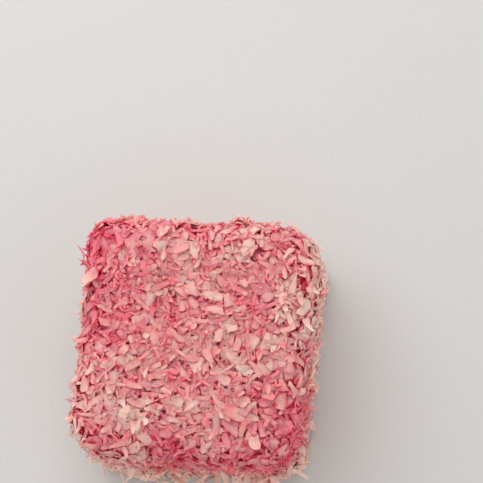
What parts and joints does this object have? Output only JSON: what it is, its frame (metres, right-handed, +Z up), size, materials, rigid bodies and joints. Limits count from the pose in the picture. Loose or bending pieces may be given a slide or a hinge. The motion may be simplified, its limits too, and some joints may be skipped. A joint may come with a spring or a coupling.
{
  "type": "lamington cake",
  "caption": "Square lamington cake with soft rounded corners, soaked pink with raspberry and coated all over in shredded coconut flakes, flat underneath.",
  "frame": {"origin": "under the middle of the cake, on the surface that it stands on", "axes": "+Z up, +X to the right, +Y away from the near side, along the slightly longer side"},
  "size_m": [0.067, 0.0704, 0.0446],
  "materials": {
    "coconut_coat": "moist, uneven shredded coconut, cream to deep raspberry pink"
  },
  "bodies": {
    "root": {"coconut_coated_cake": "coconut_coat"}
  },
  "joints": []
}
